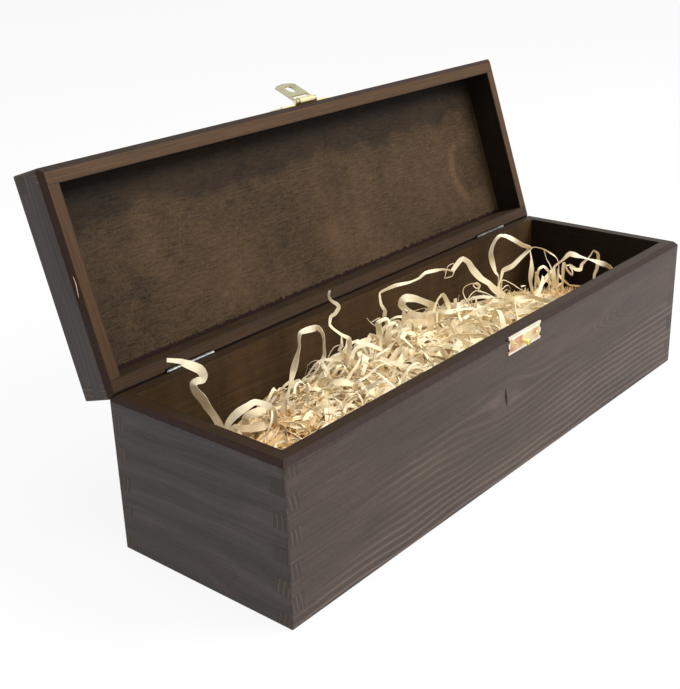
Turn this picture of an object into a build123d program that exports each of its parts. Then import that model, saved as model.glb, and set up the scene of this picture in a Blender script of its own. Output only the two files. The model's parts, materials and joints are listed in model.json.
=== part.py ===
"""A finger-jointed wooden bottle box with a hinged lid, a hasp latch and a bed of wood wool.

The long sides run along X, the front faces -Y, and Z is up. The origin is the middle of the
underside. The lid is drawn shut, then turned open about the hinge axis, as it stands at rest.
"""
from build123d import *
import os
from math import radians, sqrt, tan

# ---- case and lid ------------------------------------------------------------------------
case_length = 360.0         # outside, along X
case_width = 108.0          # outside, along Y
board = 8.5                 # thickness of the solid boards
finger_pitch = 8.0          # height of one box-joint finger
base_fingers = 10           # fingers in the height of the base
lid_fingers = 3             # fingers in the height of the lid, before it was sawn off
saw_kerf = 3.0              # wood lost where the glued box was sawn in two
rim_chamfer = 2.4           # outer edge of both rims
rim_gap = 0.3               # between the two rims when the lid is shut
corner_ease = 1.2           # upright corners
edge_ease = 0.8             # outer edges of the underside and of the lid's top
panel_thickness = 3.5       # plywood bottom and lid panel
rabbet_width = 4.0          # ledge that holds a panel, measured in from the board's inner face

base_height = base_fingers * finger_pitch
lid_height = lid_fingers * finger_pitch - saw_kerf
lid_bottom = base_height + rim_gap
lid_top = lid_bottom + lid_height
front_face = -case_width / 2
back_face = case_width / 2
inner_length = case_length - 2 * board
inner_width = case_width - 2 * board

# ---- hinges --------------------------------------------------------------------------------
open_angle = 108.0          # lid at rest, from shut
stop_slack = 5.0            # degrees from there until the chamfered back edges meet
hinge_end_margin = 49.0     # from each end of the case to the middle of a hinge
hinge_length = 30.0
leaf_height = 13.0          # down the back face, from the chamfer
leaf_thickness = 0.8
knuckles = 5                # odd: the base leaf has one more than the lid leaf
knuckle_gap = 0.2           # between neighbouring knuckles
barrel_radius = 1.3
hinge_pin_radius = 0.6
pin_fit = 0.05              # radial clearance of every pin, screw and nail in its hole
barrel_clearance = 0.3      # round the barrel in its seat in the wood
pin_head_radius = 0.95
pin_head_length = 0.4
screw_spacing = 18.0        # between the two screws of a leaf
screw_shank_radius = 0.75
screw_length = 6.0
screw_head_radius = 1.7
screw_head_height = 0.8
screw_head_round = 0.56
screw_slot_width = 0.45
screw_slot_depth = 0.35

# The chamfered edges meet at the hinge's full opening, which sets how far in the axis lies.
edge_drop = rim_chamfer + rim_gap / 2
hinge_inset = edge_drop / tan(radians(open_angle + stop_slack) / 2)
hinge_y = back_face - hinge_inset
hinge_z = base_height + rim_gap / 2
hinge_axis = Axis((0, hinge_y, hinge_z), (1, 0, 0))

# ---- latch on the lid ------------------------------------------------------------------------
tongue_open_angle = 140.0   # tongue at rest, from hanging straight down
sheet = 0.8                 # brass of the latch plate and the catch plate
latch_width = 37.5
latch_height = 11.0
latch_setback = 0.3         # lower edge of the plate above the lid's chamfer
latch_axis_rise = 3.0       # knuckle axis above the lid's rim
latch_barrel_radius = 2.0
latch_barrel_length = 11.6
latch_pin_radius = 0.7
latch_pin_head_radius = 1.0
latch_pin_head_length = 0.3
barrel_mouth_radius = 1.2   # the rolled barrel opens out at its ends
barrel_mouth_depth = 0.8
arm_gap = 0.3               # between the barrel's end and the tongue's arm, and above its ears
arm_notch_clearance = 0.9   # beside the arms, in the plate's lower edge
arm_end_play = 0.1          # between the tongue's arm and the pin's head
arm_width = 1.9
arm_eye_radius = 1.5
tongue_thickness = 0.7
tongue_corner = 16.0        # from the axis to the corners of the tongue's end
tongue_crown = 18.0         # from the axis to the middle of its rounded end
window_end = 5.0            # from the axis to the bar below the barrel
eye_top = 8.3               # from the axis to the near edge of the eye
eye_neck_radius = 2.3
eye_body_radius = 2.6
eye_step = 1.6              # between the middles of the eye's two rounds
heel_reach = 2.1            # stop ears on the tongue's arms, from the axis
heel_thickness = 0.8
scallop_radius = 1.2        # notches in the plates' short ends
scallop_spacing = 4.6
latch_nail_spacing = 27.0

latch_y = front_face - latch_barrel_radius
latch_z = lid_bottom + latch_axis_rise
latch_axis = Axis((0, latch_y, latch_z), (1, 0, 0))
latch_plate_bottom = lid_bottom + rim_chamfer + latch_setback
arm_inner = latch_barrel_length / 2 + arm_gap
tongue_half = arm_inner + arm_width

# ---- catch on the base -------------------------------------------------------------------------
catch_width = 30.4
catch_height = 9.7
catch_drop = 0.2            # top of the plate below the rim
catch_side_border = 2.0     # flat edge beside the raised field
catch_edge_border = 1.2     # and above and below it
catch_field_rise = 0.6
catch_field_bevel = 0.5
catch_nail_spacing = 20.6
stud_neck_radius = 1.0
stud_head_radius = 1.5
stud_head_height = 1.0
stud_head_round = 0.6
stud_groove_width = 0.4     # of the cross pressed into the head, as deep as it is wide
stud_slack = 0.3            # eye over the stud's head, and head over the tongue
stud_depth = 4.0            # riveted end in the wood
nail_shank_radius = 0.5
nail_length = 5.0           # in the wood
nail_head_radius = 1.1
nail_head_height = 0.6
nail_head_round = 0.48

catch_top = base_height - catch_drop
catch_middle = catch_top - catch_height / 2
stud_z = latch_z - eye_top - stud_slack - stud_head_radius

# ---- wood wool ---------------------------------------------------------------------------------
wool_clearance = 0.3        # to the walls and the bottom
wool_crown_y = -4.5         # highest line of the bed, a little in front of the middle
# Stations along the box as shares of its inner length: front, crown and back heights in mm.
wool_stations = [
    (-0.500, 34.0, 40.0, 26.0),
    (-0.340, 52.0, 57.0, 38.0),
    (-0.120, 60.0, 65.0, 44.0),
    (0.120, 60.0, 64.0, 42.0),
    (0.340, 56.0, 59.0, 38.0),
    (0.500, 40.0, 44.0, 28.0),
]


# ---- helpers -------------------------------------------------------------------------------------
def block(x0, x1, y0, y1, z0, z1):
    """A plain block between two opposite corners."""
    middle = Pos((x0 + x1) / 2, (y0 + y1) / 2, (z0 + z1) / 2)
    return middle * Box(x1 - x0, y1 - y0, z1 - z0)


def rod_along_x(radius, x0, x1, y, z):
    """A round rod from x0 to x1."""
    return Pos((x0 + x1) / 2, y, z) * Rot(0, 90, 0) * Cylinder(radius, x1 - x0)


def rod_along_y(radius, y0, y1, x, z):
    """A round rod from y0 to y1."""
    return Pos(x, (y0 + y1) / 2, z) * Rot(90, 0, 0) * Cylinder(radius, y1 - y0)


def prism_along_x(points, x0, x1):
    """A straight prism whose Y-Z section is the given polygon."""
    section = Plane.YZ.offset(x0) * make_face(Polyline(*points, close=True))
    return extrude(section, amount=x1 - x0, dir=(1, 0, 0))


def open_lid(shape):
    """Turns a piece of the shut lid to where it stands at rest."""
    return shape.rotate(hinge_axis, -open_angle)


def export(shape, name):
    """Writes one piece under its node's name."""
    shape.label = name
    export_step(shape, f"parts/{name}.step")


# ---- boards ----------------------------------------------------------------------------------------
def finger_zones(first, count, top):
    """(number, bottom, top) of each finger, counted from the underside of the whole box."""
    zones = []
    for step in range(count):
        zone_top = top - (count - 1 - step) * finger_pitch
        zones.append((first + step, zone_top - finger_pitch, zone_top))
    return zones


base_zones = finger_zones(0, base_fingers, base_height)
lid_zones = finger_zones(base_fingers, lid_fingers, lid_top)


def envelope(bottom, top, rim_on_top):
    """The outside of the base or the lid: eased corners, with a chamfer at the rim."""
    solid = block(-case_length / 2, case_length / 2, front_face, back_face, bottom, top)
    towards_rim = Axis.Z if rim_on_top else -Axis.Z
    solid = chamfer(solid.faces().sort_by(towards_rim)[-1].edges(), rim_chamfer)
    solid = fillet(solid.faces().sort_by(towards_rim)[0].edges(), edge_ease)
    upright = extrude(Pos(0, 0, bottom) * RectangleRounded(case_length, case_width, corner_ease),
                      amount=top - bottom)
    return solid & upright


base_envelope = envelope(0, base_height, True)
lid_envelope = envelope(lid_bottom, lid_top, False)
panel_length = inner_length + 2 * rabbet_width
panel_width = inner_width + 2 * rabbet_width


def panel(bottom):
    """A plywood panel that sits in the rabbets of the four boards."""
    return block(-panel_length / 2, panel_length / 2, -panel_width / 2, panel_width / 2,
                 bottom, bottom + panel_thickness)


bottom_panel = panel(0)
top_panel = panel(lid_top - panel_thickness)


def long_board(side, zones, outside, let_in):
    """Front (side -1) or back (side 1) board: it owns the even fingers."""
    y0, y1 = sorted((side * case_width / 2, side * inner_width / 2))
    bottom, top = zones[0][1], zones[-1][2]
    solid = block(-inner_length / 2, inner_length / 2, y0, y1, bottom, top)
    for number, low, high in zones:
        if number % 2 == 0:
            solid += block(-case_length / 2, case_length / 2, y0, y1, low, high)
    return (solid & outside) - let_in


def end_board(side, zones, outside, let_in):
    """Left (side -1) or right (side 1) board: it owns the odd fingers."""
    x0, x1 = sorted((side * case_length / 2, side * inner_length / 2))
    bottom, top = zones[0][1], zones[-1][2]
    solid = block(x0, x1, -inner_width / 2, inner_width / 2, bottom, top)
    for number, low, high in zones:
        if number % 2 == 1:
            solid += block(x0, x1, front_face, back_face, low, high)
    return (solid & outside) - let_in


# ---- hinges ------------------------------------------------------------------------------------------
def knuckle_spans(centre, first):
    """(x0, x1) of every second knuckle, from the first one (0 or 1)."""
    pitch = hinge_length / knuckles
    start = centre - hinge_length / 2
    return [(start + n * pitch + knuckle_gap / 2, start + (n + 1) * pitch - knuckle_gap / 2)
            for n in range(first, knuckles, 2)]


def hinge_leaf(centre, away):
    """One leaf, let in flush: away is -1 for the base's leaf and 1 for the lid's."""
    def at(in_y, out_z):
        return (hinge_y + in_y, hinge_z + away * out_z)

    # The chamfer plane passes this far from the axis, measured along Y and along Z alike.
    plane_offset = edge_drop - hinge_inset
    foot = plane_offset / 2
    sink = leaf_thickness / sqrt(2)
    leaf_end = edge_drop + leaf_height
    inner_y = hinge_inset - leaf_thickness
    corner = at(hinge_inset, edge_drop)
    inner_corner = at(inner_y, inner_y + plane_offset + 2 * sink)
    plate = [corner, at(hinge_inset, leaf_end), at(inner_y, leaf_end), inner_corner]
    neck = [corner, inner_corner, at(-foot - sink, foot + sink), at(-foot, foot)]

    x0, x1 = centre - hinge_length / 2, centre + hinge_length / 2
    leaf = prism_along_x(plate, x0, x1)
    for low, high in knuckle_spans(centre, 0 if away < 0 else 1):
        leaf += prism_along_x(neck, low, high)
        leaf += rod_along_x(barrel_radius, low, high, hinge_y, hinge_z)
    leaf -= rod_along_x(hinge_pin_radius + pin_fit, x0 - 1, x1 + 1, hinge_y, hinge_z)
    for x, z in screw_places(centre, away):
        leaf -= rod_along_y(screw_shank_radius + pin_fit, hinge_y, back_face + 1, x, z)
    return leaf


def screw_places(centre, away):
    """(x, z) of the two screws of a leaf, in the middle of its height."""
    z = hinge_z + away * (edge_drop + leaf_height / 2)
    return [(centre + side * screw_spacing / 2, z) for side in (-1, 1)]


def hinge_pin(centre):
    """The pin with a small head at each end."""
    half = hinge_length / 2
    pin = rod_along_x(hinge_pin_radius, centre - half, centre + half, hinge_y, hinge_z)
    for side in (-1, 1):
        x0, x1 = sorted((centre + side * half, centre + side * (half + pin_head_length)))
        pin += rod_along_x(pin_head_radius, x0, x1, hinge_y, hinge_z)
    return pin


def barrel_seat(centre):
    """The round groove in both back boards that the barrel and the pin's heads lie in."""
    reach = hinge_length / 2 + pin_head_length + barrel_clearance
    return rod_along_x(barrel_radius + barrel_clearance, centre - reach, centre + reach,
                       hinge_y, hinge_z)


def hinge_screw(x, z):
    """A small slotted screw with a domed head, driven in from the back."""
    shank = rod_along_y(screw_shank_radius, back_face - screw_length, back_face, x, z)
    head = rod_along_y(screw_head_radius, back_face, back_face + screw_head_height, x, z)
    head = fillet(head.edges().sort_by(Axis.Y)[-1], screw_head_round)
    slot_y = back_face + screw_head_height - screw_slot_depth
    slot = block(x - screw_head_radius, x + screw_head_radius, slot_y, back_face + 2,
                 z - screw_slot_width / 2, z + screw_slot_width / 2)
    return shank + head - slot


def screw_hole(x, z):
    """The pilot hole of a hinge screw."""
    return rod_along_y(screw_shank_radius + pin_fit, back_face - screw_length - pin_fit,
                       back_face + 1, x, z)


hinge_reach = case_length / 2 - hinge_end_margin
hinge_centres = {"left": -hinge_reach, "right": hinge_reach}


def mortised(back_board, away):
    """A back board with the seats of both hinges and their screws cut in."""
    for centre in hinge_centres.values():
        back_board -= hinge_leaf(centre, away)
        back_board -= barrel_seat(centre)
        for x, z in screw_places(centre, away):
            back_board -= screw_hole(x, z)
    return back_board


# ---- latch and catch -----------------------------------------------------------------------------------
def scalloped_plate(width, bottom, height):
    """A brass plate on the front face, with two round notches in each short end."""
    plate = block(-width / 2, width / 2, front_face - sheet, front_face, bottom, bottom + height)
    middle = bottom + height / 2
    for side in (-1, 1):
        for level in (-1, 1):
            plate -= rod_along_y(scallop_radius, front_face - 2 * sheet, front_face + sheet,
                                 side * width / 2, middle + level * scallop_spacing / 2)
    return plate


def nail(x, z, proud):
    """A round-headed nail through a brass plate that stands this far off the wood."""
    shank = rod_along_y(nail_shank_radius, front_face - proud, front_face + nail_length, x, z)
    head_y = front_face - proud
    head = rod_along_y(nail_head_radius, head_y - nail_head_height, head_y, x, z)
    head = fillet(head.edges().sort_by(Axis.Y)[0], nail_head_round)
    return shank + head


def nail_hole(x, z):
    """The hole of a nail, from in front of the plate to its point in the wood."""
    return rod_along_y(nail_shank_radius + pin_fit, front_face - 3 * sheet,
                       front_face + nail_length + pin_fit, x, z)


latch_nail_z = latch_plate_bottom + latch_height / 2
latch_nail_places = [(side * latch_nail_spacing / 2, latch_nail_z) for side in (-1, 1)]
catch_nail_places = [(side * catch_nail_spacing / 2, catch_middle) for side in (-1, 1)]
catch_face_rise = sheet + catch_field_rise


def latch_plate():
    """The plate on the lid, with its rolled barrel and room for the tongue's arms."""
    half = latch_barrel_length / 2
    plate = scalloped_plate(latch_width, latch_plate_bottom, latch_height)
    notch_top = latch_z + heel_reach + arm_gap
    for side in (-1, 1):
        x0, x1 = sorted((side * half, side * (tongue_half + arm_notch_clearance)))
        plate -= block(x0, x1, front_face - 2 * sheet, front_face + sheet,
                       latch_plate_bottom - 1, notch_top)
    plate += rod_along_x(latch_barrel_radius, -half, half, latch_y, latch_z)
    plate -= rod_along_x(latch_pin_radius + pin_fit, -half - 1, half + 1, latch_y, latch_z)
    for side in (-1, 1):
        x0, x1 = sorted((side * (half - barrel_mouth_depth), side * (half + 1)))
        plate -= rod_along_x(barrel_mouth_radius, x0, x1, latch_y, latch_z)
    for x, z in latch_nail_places:
        plate -= nail_hole(x, z)
    return plate


def latch_pin():
    """The pin that the tongue turns on, headed outside its arms."""
    reach = tongue_half + arm_end_play
    pin = rod_along_x(latch_pin_radius, -reach, reach, latch_y, latch_z)
    for side in (-1, 1):
        x0, x1 = sorted((side * reach, side * (reach + latch_pin_head_length)))
        pin += rod_along_x(latch_pin_head_radius, x0, x1, latch_y, latch_z)
    return pin


def latch_tongue():
    """The hasp tongue as it hangs over the catch: two arms, a rounded end and an eye."""
    half = tongue_thickness / 2
    end_z = latch_z - tongue_corner
    outline = make_face([
        Polyline((-tongue_half, end_z), (-tongue_half, latch_z), (tongue_half, latch_z),
                 (tongue_half, end_z)),
        ThreePointArc((tongue_half, end_z), (0, latch_z - tongue_crown), (-tongue_half, end_z)),
    ])
    flat = extrude(Plane.XZ * outline, amount=half, both=True)
    tongue = Pos(0, latch_y, 0) * flat
    tongue -= block(-arm_inner, arm_inner, latch_y - 1, latch_y + 1, latch_z - window_end,
                    latch_z + 1)
    neck_z = latch_z - eye_top - eye_neck_radius
    body_z = neck_z - eye_step
    rounds = [Pos(0, neck_z) * Circle(eye_neck_radius), Pos(0, body_z) * Circle(eye_body_radius)]
    eye = make_hull((rounds[0] + rounds[1]).edges())
    tongue -= Pos(0, latch_y, 0) * extrude(Plane.XZ * eye, amount=1, both=True)
    for side in (-1, 1):
        x0, x1 = sorted((side * arm_inner, side * tongue_half))
        tongue += rod_along_x(arm_eye_radius, x0, x1, latch_y, latch_z)
        tongue += block(x0, x1, latch_y - heel_reach, latch_y, latch_z - heel_thickness / 2,
                        latch_z + heel_thickness / 2)
    tongue -= rod_along_x(latch_pin_radius + pin_fit, -tongue_half - 1, tongue_half + 1,
                          latch_y, latch_z)
    return tongue


def catch_plate():
    """The plate on the front board: a raised field inside a flat, scalloped border."""
    bottom = catch_top - catch_height
    plate = scalloped_plate(catch_width, bottom, catch_height)
    field = block(-catch_width / 2 + catch_side_border, catch_width / 2 - catch_side_border,
                  front_face - catch_face_rise, front_face - sheet,
                  bottom + catch_edge_border, catch_top - catch_edge_border)
    plate += chamfer(field.faces().sort_by(Axis.Y)[0].edges(), catch_field_bevel)
    for x, z in catch_nail_places:
        plate -= nail_hole(x, z)
    return plate - stud_hole()


def stud_hole():
    """The hole that the stud is riveted into, through the plate and into the wood."""
    return rod_along_y(stud_neck_radius + pin_fit, front_face - 3 * sheet,
                       front_face + stud_depth + pin_fit, 0, stud_z)


def catch_stud():
    """The headed stud that holds the tongue, with a pressed cross in its head."""
    head_y = latch_y - tongue_thickness / 2 - stud_slack
    stud = rod_along_y(stud_neck_radius, head_y, front_face + stud_depth, 0, stud_z)
    head = rod_along_y(stud_head_radius, head_y - stud_head_height, head_y, 0, stud_z)
    stud += fillet(head.edges().sort_by(Axis.Y)[0], stud_head_round)
    for turn in (45, -45):
        bar = Box(4 * stud_head_radius, 2 * stud_groove_width, stud_groove_width)
        stud -= Pos(0, head_y - stud_head_height, stud_z) * Rot(0, turn, 0) * bar
    return stud


# ---- wood wool ----------------------------------------------------------------------------------------
def wood_wool():
    """The bed of wood wool as one closed mound, lofted through its stations."""
    half = inner_width / 2 - wool_clearance
    floor = panel_thickness + wool_clearance
    span = inner_length - 2 * wool_clearance
    sections = []
    for share, front, crown, back in wool_stations:
        outline = make_face([
            Polyline((-half, front), (-half, floor), (half, floor), (half, back)),
            ThreePointArc((half, back), (wool_crown_y, crown), (-half, front)),
        ])
        sections.append(Plane.YZ.offset(share * span) * outline)
    return loft(sections, ruled=True)


# ---- build and write ------------------------------------------------------------------------------------
def build_base():
    """Every piece that stays with the case."""
    front = long_board(-1, base_zones, base_envelope, bottom_panel)
    for x, z in catch_nail_places:
        front -= nail_hole(x, z)
    return {
        "base_front_board": front - stud_hole(),
        "base_back_board": mortised(long_board(1, base_zones, base_envelope, bottom_panel), -1),
        "base_left_end": end_board(-1, base_zones, base_envelope, bottom_panel),
        "base_right_end": end_board(1, base_zones, base_envelope, bottom_panel),
        "base_bottom_panel": bottom_panel,
        "catch_plate": catch_plate(),
        "catch_stud": catch_stud(),
        "catch_nails": Compound([nail(x, z, catch_face_rise) for x, z in catch_nail_places]),
        "wood_wool": wood_wool(),
    }


def build_lid():
    """Every piece that turns with the lid, drawn shut."""
    front = long_board(-1, lid_zones, lid_envelope, top_panel)
    for x, z in latch_nail_places:
        front -= nail_hole(x, z)
    return {
        "lid_front_board": front,
        "lid_back_board": mortised(long_board(1, lid_zones, lid_envelope, top_panel), 1),
        "lid_left_end": end_board(-1, lid_zones, lid_envelope, top_panel),
        "lid_right_end": end_board(1, lid_zones, lid_envelope, top_panel),
        "lid_top_panel": top_panel,
        "latch_plate": latch_plate(),
        "latch_pin": latch_pin(),
        "latch_nails": Compound([nail(x, z, sheet) for x, z in latch_nail_places]),
        "latch_tongue": latch_tongue().rotate(latch_axis, -tongue_open_angle),
    }


def screw_set(away):
    """The screws of both hinges' leaves on one side, as separate solids."""
    return Compound([hinge_screw(x, z) for centre in hinge_centres.values()
                     for x, z in screw_places(centre, away)])


os.makedirs("parts", exist_ok=True)
for name, shape in build_base().items():
    export(shape, name)
for name, shape in build_lid().items():
    export(open_lid(shape), name)
for name, centre in hinge_centres.items():
    export(hinge_leaf(centre, -1), f"{name}_hinge_base_leaf")
    export(open_lid(hinge_leaf(centre, 1)), f"{name}_hinge_lid_leaf")
    export(hinge_pin(centre), f"{name}_hinge_pin")
export(screw_set(-1), "hinge_base_screws")
export(open_lid(screw_set(1)), "hinge_lid_screws")

latch_from_hinge_y, latch_from_hinge_z = latch_y - hinge_y, latch_z - hinge_z
turned = Vector(0, latch_from_hinge_y, latch_from_hinge_z).rotate(Axis.X, -open_angle)
print(f"hinge axis y {hinge_y:.3f} z {hinge_z:.3f}")
print(f"latch axis y {hinge_y + turned.Y:.3f} z {hinge_z + turned.Z:.3f}")
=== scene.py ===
import json
import math
import random

import bmesh
import bpy
import numpy as np
from bpy.props import (BoolProperty, FloatProperty, FloatVectorProperty, IntProperty,
                       PointerProperty)
from mathutils import Matrix, Vector
from mathutils.bvhtree import BVHTree


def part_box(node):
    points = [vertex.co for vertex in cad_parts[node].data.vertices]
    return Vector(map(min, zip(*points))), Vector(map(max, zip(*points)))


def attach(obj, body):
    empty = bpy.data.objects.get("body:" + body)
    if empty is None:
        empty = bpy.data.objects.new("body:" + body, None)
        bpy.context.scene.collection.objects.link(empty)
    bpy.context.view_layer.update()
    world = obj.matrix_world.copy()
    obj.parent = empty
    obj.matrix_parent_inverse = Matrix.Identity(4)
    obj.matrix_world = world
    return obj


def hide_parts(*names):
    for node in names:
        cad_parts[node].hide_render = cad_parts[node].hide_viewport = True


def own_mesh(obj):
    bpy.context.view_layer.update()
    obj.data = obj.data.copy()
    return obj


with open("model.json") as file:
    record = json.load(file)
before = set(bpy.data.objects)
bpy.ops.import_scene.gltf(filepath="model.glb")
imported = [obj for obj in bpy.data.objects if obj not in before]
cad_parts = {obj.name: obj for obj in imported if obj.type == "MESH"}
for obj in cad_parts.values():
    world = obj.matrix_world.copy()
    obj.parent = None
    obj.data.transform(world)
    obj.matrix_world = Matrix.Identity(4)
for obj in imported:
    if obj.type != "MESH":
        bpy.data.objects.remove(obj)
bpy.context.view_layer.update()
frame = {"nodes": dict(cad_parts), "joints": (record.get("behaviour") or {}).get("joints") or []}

bl_info = {
    "name": "Wooden Bottle Box",
    "version": (1, 0, 0),
    "blender": (4, 5, 0),
    "location": "3D View > Sidebar > Bottle Box",
    "description": "Stains the boards of a hinged bottle box, plates its fittings and fills it with wood wool",
    "category": "Object",
}

MM = 0.001
NODES = frame["nodes"]
LID_JOINT = next(j for j in frame["joints"] if j["name"] == "lid_hinge")
HINGE = Vector(LID_JOINT["pos_m"]) / MM
OPEN_ANGLE = math.radians(LID_JOINT["range_deg"][1])
FRONT_LOW, FRONT_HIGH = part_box("base_front_board")
HALF_LENGTH = FRONT_HIGH.x / MM
HALF_WIDTH = -FRONT_LOW.y / MM
BOARD = (FRONT_HIGH.y - FRONT_LOW.y) / MM
RIM = FRONT_HIGH.z / MM
FINGER = 8.0
INNER_X, INNER_Y = HALF_LENGTH - BOARD, HALF_WIDTH - BOARD


def tone(code):
    """A colour written as six hexadecimal digits, as the linear red, green and blue of a shader."""
    parts = [int(code[i:i + 2], 16) / 255 for i in (0, 2, 4)]
    return tuple(p / 12.92 if p <= 0.04045 else ((p + 0.055) / 1.055) ** 2.4 for p in parts)


# ---- sizes and colours a user would change ------------------------------------------------

def colour(name, description, code):
    return FloatVectorProperty(name=name, description=description, size=3, subtype="COLOR",
                               min=0.0, max=1.0, default=tone(code))


class WoodSettings(bpy.types.PropertyGroup):
    """Colours of the stained boards and the plywood."""
    face: colour("Long boards", "Stain on the outside of the long boards", "514640")
    end: colour("End boards", "Stain on the outside of the two ends", "4a4343")
    warm: colour("Warm patches", "Brown that shows where the stain is thin", "5c4d42")
    inside: colour("Inside", "Stain on the inner faces", "4a3721")
    # painted shade: a darker copy of the inside stain, for inner faces that lie in shadow
    painted_shade: colour("Inside of the right end", "Painted shade on inner faces that lie in shadow", "20160d")
    rim: colour("Rims", "Flat rims of the case and of the lid", "4f371f")
    edge: colour("Edges", "Soaked chamfers and joint lines", "28170e")
    plywood: colour("Plywood", "Inner face of the panels", "4b3a28")
    ring_spacing: FloatProperty(name="Ring spacing", description="Between two growth lines, in mm",
                                default=3.4, min=0.5, max=20.0)


class MetalSettings(bpy.types.PropertyGroup):
    """Finish of the fittings."""
    brass: colour("Brass", "Thin plating of the latch and the catch", "efe0ac")
    flush: colour("Flush", "Pink tint that the plating has in places", "d27a70")
    zinc: colour("Zinc", "Plating of the hinges", "5f5e5e")


class WoolSettings(bpy.types.PropertyGroup):
    """The wood wool: a packed bed with loose strands on top."""
    pale: colour("Pale", "Fresh shavings on top", "fff0cd")
    # tan also serves as painted shade for ribbons low in the bed
    tan: colour("Tan", "Tan of some shavings, and painted shade further down", "e6b566")
    strands: IntProperty(name="Strands", description="Ribbons in each part of the bed",
                         default=560, min=10, max=1500)
    width: FloatProperty(name="Width", description="Mean width of a ribbon", subtype="DISTANCE",
                         unit="LENGTH", default=0.0031, min=0.0005, max=0.01)
    depth: FloatProperty(name="Depth", description="How far down the ribbons fill the bed",
                         subtype="DISTANCE", unit="LENGTH", default=0.009, min=0.001, max=0.03)
    loft: FloatProperty(name="Loft", description="How far the loosest ribbons stand up",
                        subtype="DISTANCE", unit="LENGTH", default=0.006, min=0.0, max=0.04)
    seed: IntProperty(name="Seed", description="Start of the random draws", default=11)


class StageSettings(bpy.types.PropertyGroup):
    """Floor, lamps and camera."""
    floor: colour("Floor", "Colour of the floor", "f2f2f2")
    fill: FloatProperty(name="Fill", description="Strength of the light from all round",
                        default=0.44, min=0.0, max=3.0)
    key: FloatProperty(name="Key", description="Power of the large lamp in front", subtype="POWER",
                       unit="POWER", default=30.0, min=0.0, max=500.0)
    show_floor: BoolProperty(name="Floor", description="Adds the floor", default=True)


# ---- node graphs -----------------------------------------------------------------------------

class Value:
    """An output socket in Python arithmetic: each operation adds its Math node."""

    def __init__(self, graph, socket):
        self.graph, self.socket = graph, socket

    def _math(self, operation, *operands):
        return self.graph.node("ShaderNodeMath", {"operation": operation},
                               dict(enumerate(operands)))

    def __add__(self, other):
        return self._math("ADD", self, other)

    def __sub__(self, other):
        return self._math("SUBTRACT", self, other)

    def __rsub__(self, other):
        return self._math("SUBTRACT", other, self)

    def __mul__(self, other):
        return self._math("MULTIPLY", self, other)

    def __truediv__(self, other):
        return self._math("DIVIDE", self, other)

    def __rtruediv__(self, other):
        return self._math("DIVIDE", other, self)

    def __pow__(self, other):
        return self._math("POWER", self, other)

    def __rpow__(self, other):
        return self._math("POWER", other, self)

    def __neg__(self):
        return self._math("MULTIPLY", self, -1.0)

    def __abs__(self):
        return self._math("ABSOLUTE", self)

    __radd__, __rmul__ = __add__, __mul__

    def sin(self):
        return self._math("SINE", self)

    def fraction(self):
        return self._math("FRACT", self)

    def least(self, other):
        return self._math("MINIMUM", self, other)

    def most(self, other):
        return self._math("MAXIMUM", self, other)

    def above(self, start, end):
        """0 at start, 1 at end, smooth between them."""
        return self.graph.node("ShaderNodeMapRange", {"interpolation_type": "SMOOTHSTEP"},
                               {0: self, 1: start, 2: end})

    def below(self, end, start):
        """1 at end, 0 at start, smooth between them."""
        return 1 - self.above(end, start)


class Graph:
    """The nodes of one tree, all made by one method."""

    def __init__(self, tree):
        self.tree = tree
        tree.nodes.clear()

    def node(self, kind, settings=None, inputs=None, output=0):
        made = self.tree.nodes.new(kind)
        for name, value in (settings or {}).items():
            if name == "stops":
                elements = made.color_ramp.elements
                for i, (place, shade) in enumerate(value):
                    element = elements[i] if i < 2 else elements.new(place)
                    element.position, element.color = place, (*shade, 1.0)
            else:
                setattr(made, name, value)
        for key, value in (inputs or {}).items():
            if isinstance(value, Value):
                self.tree.links.new(value.socket, made.inputs[key])
            elif value is not None:
                opaque = made.inputs[key].type == "RGBA" and len(value) == 3
                made.inputs[key].default_value = (*value, 1.0) if opaque else value
        return None if output is None else Value(self, made.outputs[output])

    def also(self, value, output):
        """Another output of the node that gave value."""
        return Value(self, value.socket.node.outputs[output])

    def vector(self, x, y, z):
        return self.node("ShaderNodeCombineXYZ", None, {0: x, 1: y, 2: z})

    def split(self, vector):
        x = self.node("ShaderNodeSeparateXYZ", None, {0: vector})
        return x, self.also(x, 1), self.also(x, 2)

    def noise(self, vector, scale=1.0, detail=2.0, roughness=0.5, distortion=0.0):
        return self.node("ShaderNodeTexNoise", None,
                         {"Vector": vector, "Scale": scale, "Detail": detail,
                          "Roughness": roughness, "Distortion": distortion})

    def blend(self, first, second, share):
        """A colour between two others."""
        return self.node("ShaderNodeMix", {"data_type": "RGBA"}, {0: share, 6: first, 7: second}, 2)

    def dim(self, shade, factor):
        """A colour times a number."""
        grey = self.vector(factor, factor, factor)
        return self.node("ShaderNodeMix", {"data_type": "RGBA", "blend_type": "MULTIPLY"},
                         {0: 1.0, 6: shade, 7: grey}, 2)

    def attribute(self, name):
        return self.node("ShaderNodeAttribute", {"attribute_name": name}, None, "Fac")


def surface(name, build, **fixed):
    """A material: build(graph) returns what varies over it, and fixed holds the rest."""
    material = bpy.data.materials.new(name)
    material.use_nodes = True
    graph = Graph(material.node_tree)
    inputs = dict(build(graph))
    height, strength, reach = inputs.pop("height", None), inputs.pop("strength", 0.2), inputs.pop("reach", MM)
    if height is not None:
        inputs["Normal"] = graph.node("ShaderNodeBump", None,
                                      {"Strength": strength, "Distance": reach, "Height": height})
    inputs.update(fixed)
    shader = graph.node("ShaderNodeBsdfPrincipled", None, inputs)
    graph.node("ShaderNodeOutputMaterial", None, {"Surface": shader}, None)
    return material


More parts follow.
